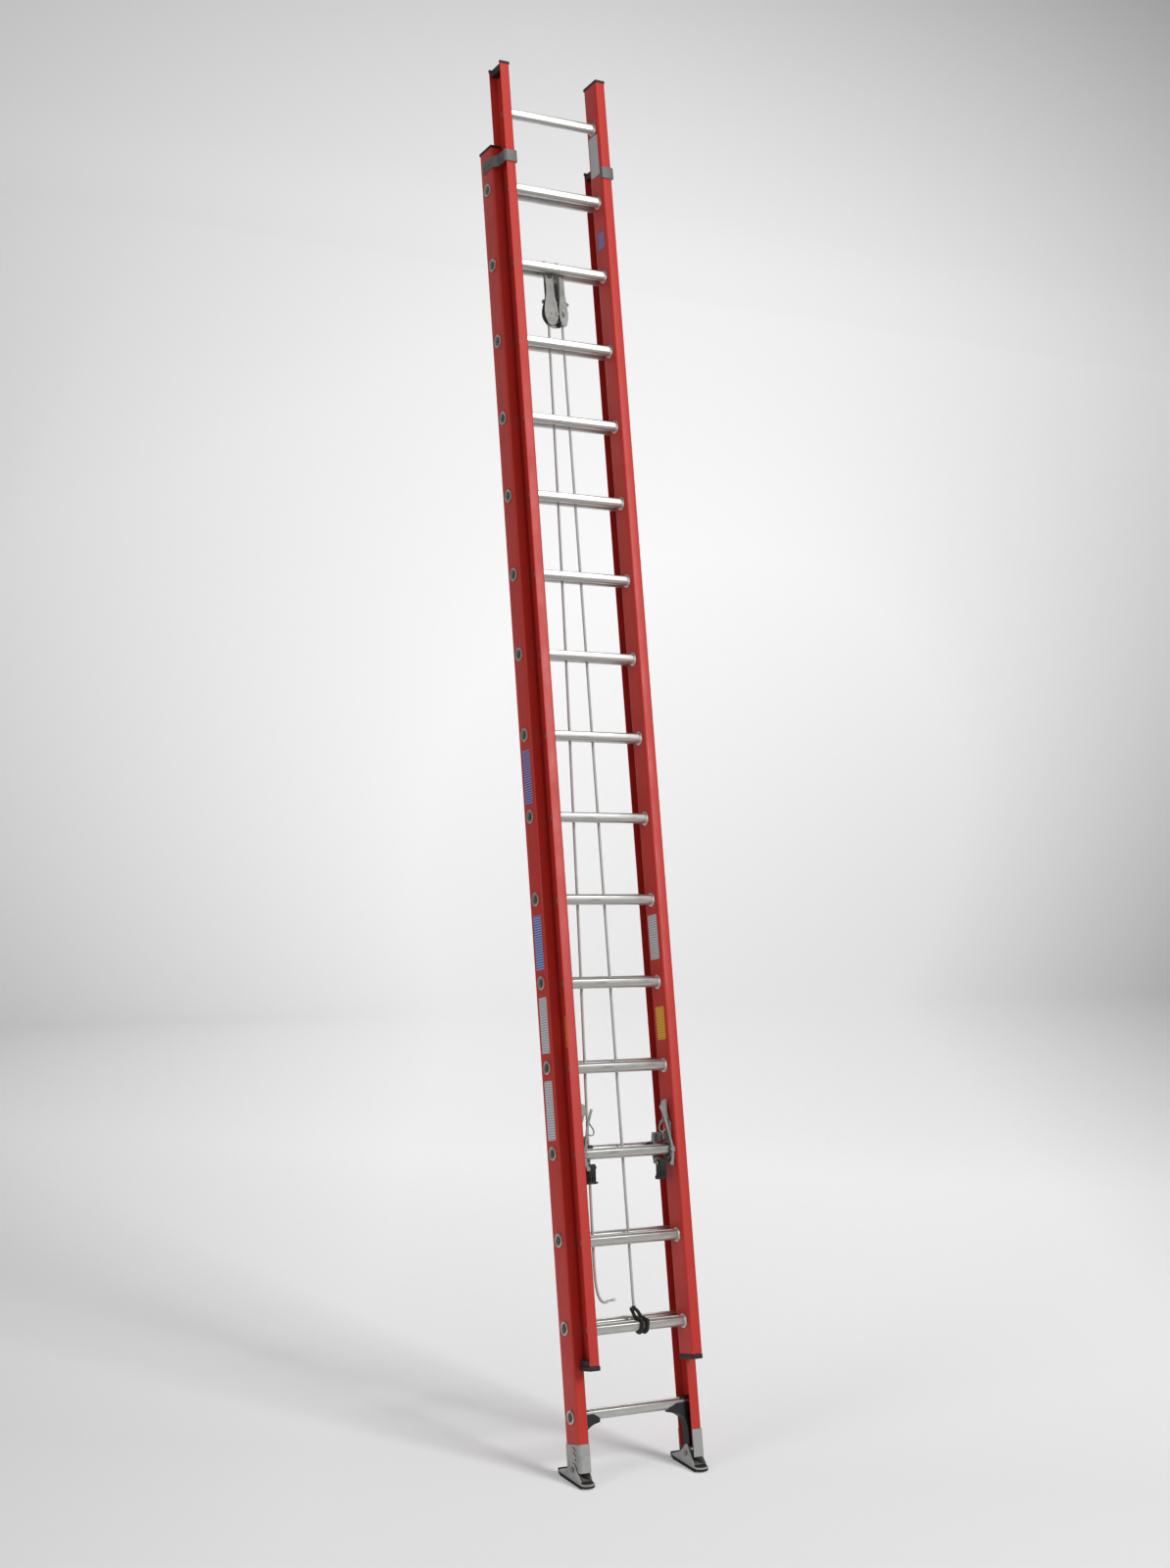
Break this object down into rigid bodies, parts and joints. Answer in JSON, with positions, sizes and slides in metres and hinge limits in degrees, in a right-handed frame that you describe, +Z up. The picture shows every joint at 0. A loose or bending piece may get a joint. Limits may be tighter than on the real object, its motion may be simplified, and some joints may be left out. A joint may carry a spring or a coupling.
{
  "type": "extension ladder",
  "caption": "Leaning two-section extension ladder with channel side rails, D-shaped rungs, hoist rope and pulley, rung locks and pivoting shoes.",
  "frame": {"origin": "on the floor, below the middle of the ladder's bounding box, midway between the rails", "axes": "+Z up, +X along the rungs, +Y from the climber towards the wall that the ladder leans on; rails lean back 14.5 degrees from +Z"},
  "size_m": [0.5346, 1.36, 5.1423],
  "materials": {
    "fibreglass": "satin orange-red fibreglass",
    "aluminium": "extruded mill finish",
    "steel": "zinc plated, dull",
    "black_plastic": "moulded matte black",
    "rubber": "ribbed tread rubber",
    "rope": "braided pale grey rope"
  },
  "bodies": {
    "base_section": {"base_rail_left": "fibreglass", "base_rail_right": "fibreglass", "base_rung_01": "aluminium", "base_rung_02": "aluminium", "base_rung_03": "aluminium", "base_rung_04": "aluminium", "base_rung_05": "aluminium", "base_rung_06": "aluminium", "base_rung_07": "aluminium", "base_rung_08": "aluminium", "base_rung_09": "aluminium", "base_rung_10": "aluminium", "base_rung_11": "aluminium", "base_rung_12": "aluminium", "base_rung_13": "aluminium", "base_rung_14": "aluminium", "base_rung_15": "aluminium", "base_rung_16": "aluminium", "guide_bracket_left": "steel", "guide_bracket_right": "steel", "brace_left": "black_plastic", "brace_right": "black_plastic", "boot_left": "aluminium", "boot_right": "aluminium", "pulley_frame": "steel", "pulley_axle": "steel", "rope_taut": "rope", "rope_free": "rope", "shoe_pin_left": "steel", "shoe_pin_right": "steel"},
    "fly_section": {"fly_rail_left": "fibreglass", "fly_rail_right": "fibreglass", "fly_rung_01": "aluminium", "fly_rung_02": "aluminium", "fly_rung_03": "aluminium", "fly_rung_04": "aluminium", "fly_rung_05": "aluminium", "fly_rung_06": "aluminium", "fly_rung_07": "aluminium", "fly_rung_08": "aluminium", "fly_rung_09": "aluminium", "fly_rung_10": "aluminium", "fly_rung_11": "aluminium", "fly_rung_12": "aluminium", "fly_rung_13": "aluminium", "fly_rung_14": "aluminium", "fly_rung_15": "aluminium", "fly_rung_16": "aluminium", "fly_bottom_cap_left": "black_plastic", "fly_bottom_cap_right": "black_plastic", "rope_clamp": "black_plastic"},
    "sheave": {"pulley_sheave": "black_plastic"},
    "shoe_left": {"shoe_left": "aluminium", "shoe_pad_left": "rubber"},
    "shoe_right": {"shoe_right": "aluminium", "shoe_pad_right": "rubber"},
    "lock_left": {"rung_lock_left": "steel"},
    "lock_right": {"rung_lock_right": "steel"},
    "finger_left": {"lock_finger_left": "black_plastic"},
    "finger_right": {"lock_finger_right": "black_plastic"}
  },
  "joints": [
    {"name": "fly_slide", "type": "slide", "parent": "base_section", "child": "fly_section", "axis": [0, 0.2504, 0.9681], "range_m": [0, 3.6576], "deforming": ["rope_taut"]},
    {"name": "sheave_spin", "type": "hinge", "parent": "base_section", "child": "sheave", "pos_m": [-0.0165, 0.43043, 4.18233], "axis": [0, 0.9681, -0.2504], "continuous": true},
    {"name": "shoe_left_pivot", "type": "hinge", "parent": "base_section", "child": "shoe_left", "pos_m": [-0.235, -0.59798, 0.05], "axis": [1, 0, 0], "range_deg": [-36, 7]},
    {"name": "shoe_right_pivot", "type": "hinge", "parent": "base_section", "child": "shoe_right", "pos_m": [0.235, -0.59798, 0.05], "axis": [1, 0, 0], "range_deg": [-36, 7]},
    {"name": "lock_left_pivot", "type": "hinge", "parent": "fly_section", "child": "lock_left", "pos_m": [-0.1785, -0.40373, 1.11261], "axis": [1, 0, 0], "range_deg": [-66, 8]},
    {"name": "lock_right_pivot", "type": "hinge", "parent": "fly_section", "child": "lock_right", "pos_m": [0.1785, -0.40373, 1.11261], "axis": [1, 0, 0], "range_deg": [-66, 8]},
    {"name": "finger_left_pivot", "type": "hinge", "parent": "lock_left", "child": "finger_left", "pos_m": [-0.154, -0.41525, 1.06808], "axis": [1, 0, 0], "range_deg": [-40, 30]},
    {"name": "finger_right_pivot", "type": "hinge", "parent": "lock_right", "child": "finger_right", "pos_m": [0.154, -0.41525, 1.06808], "axis": [1, 0, 0], "range_deg": [-40, 30]}
  ],
  "couplings": [
    {"joint": "sheave_spin", "follows": "fly_slide", "rad_per_m": -30.769}
  ]
}
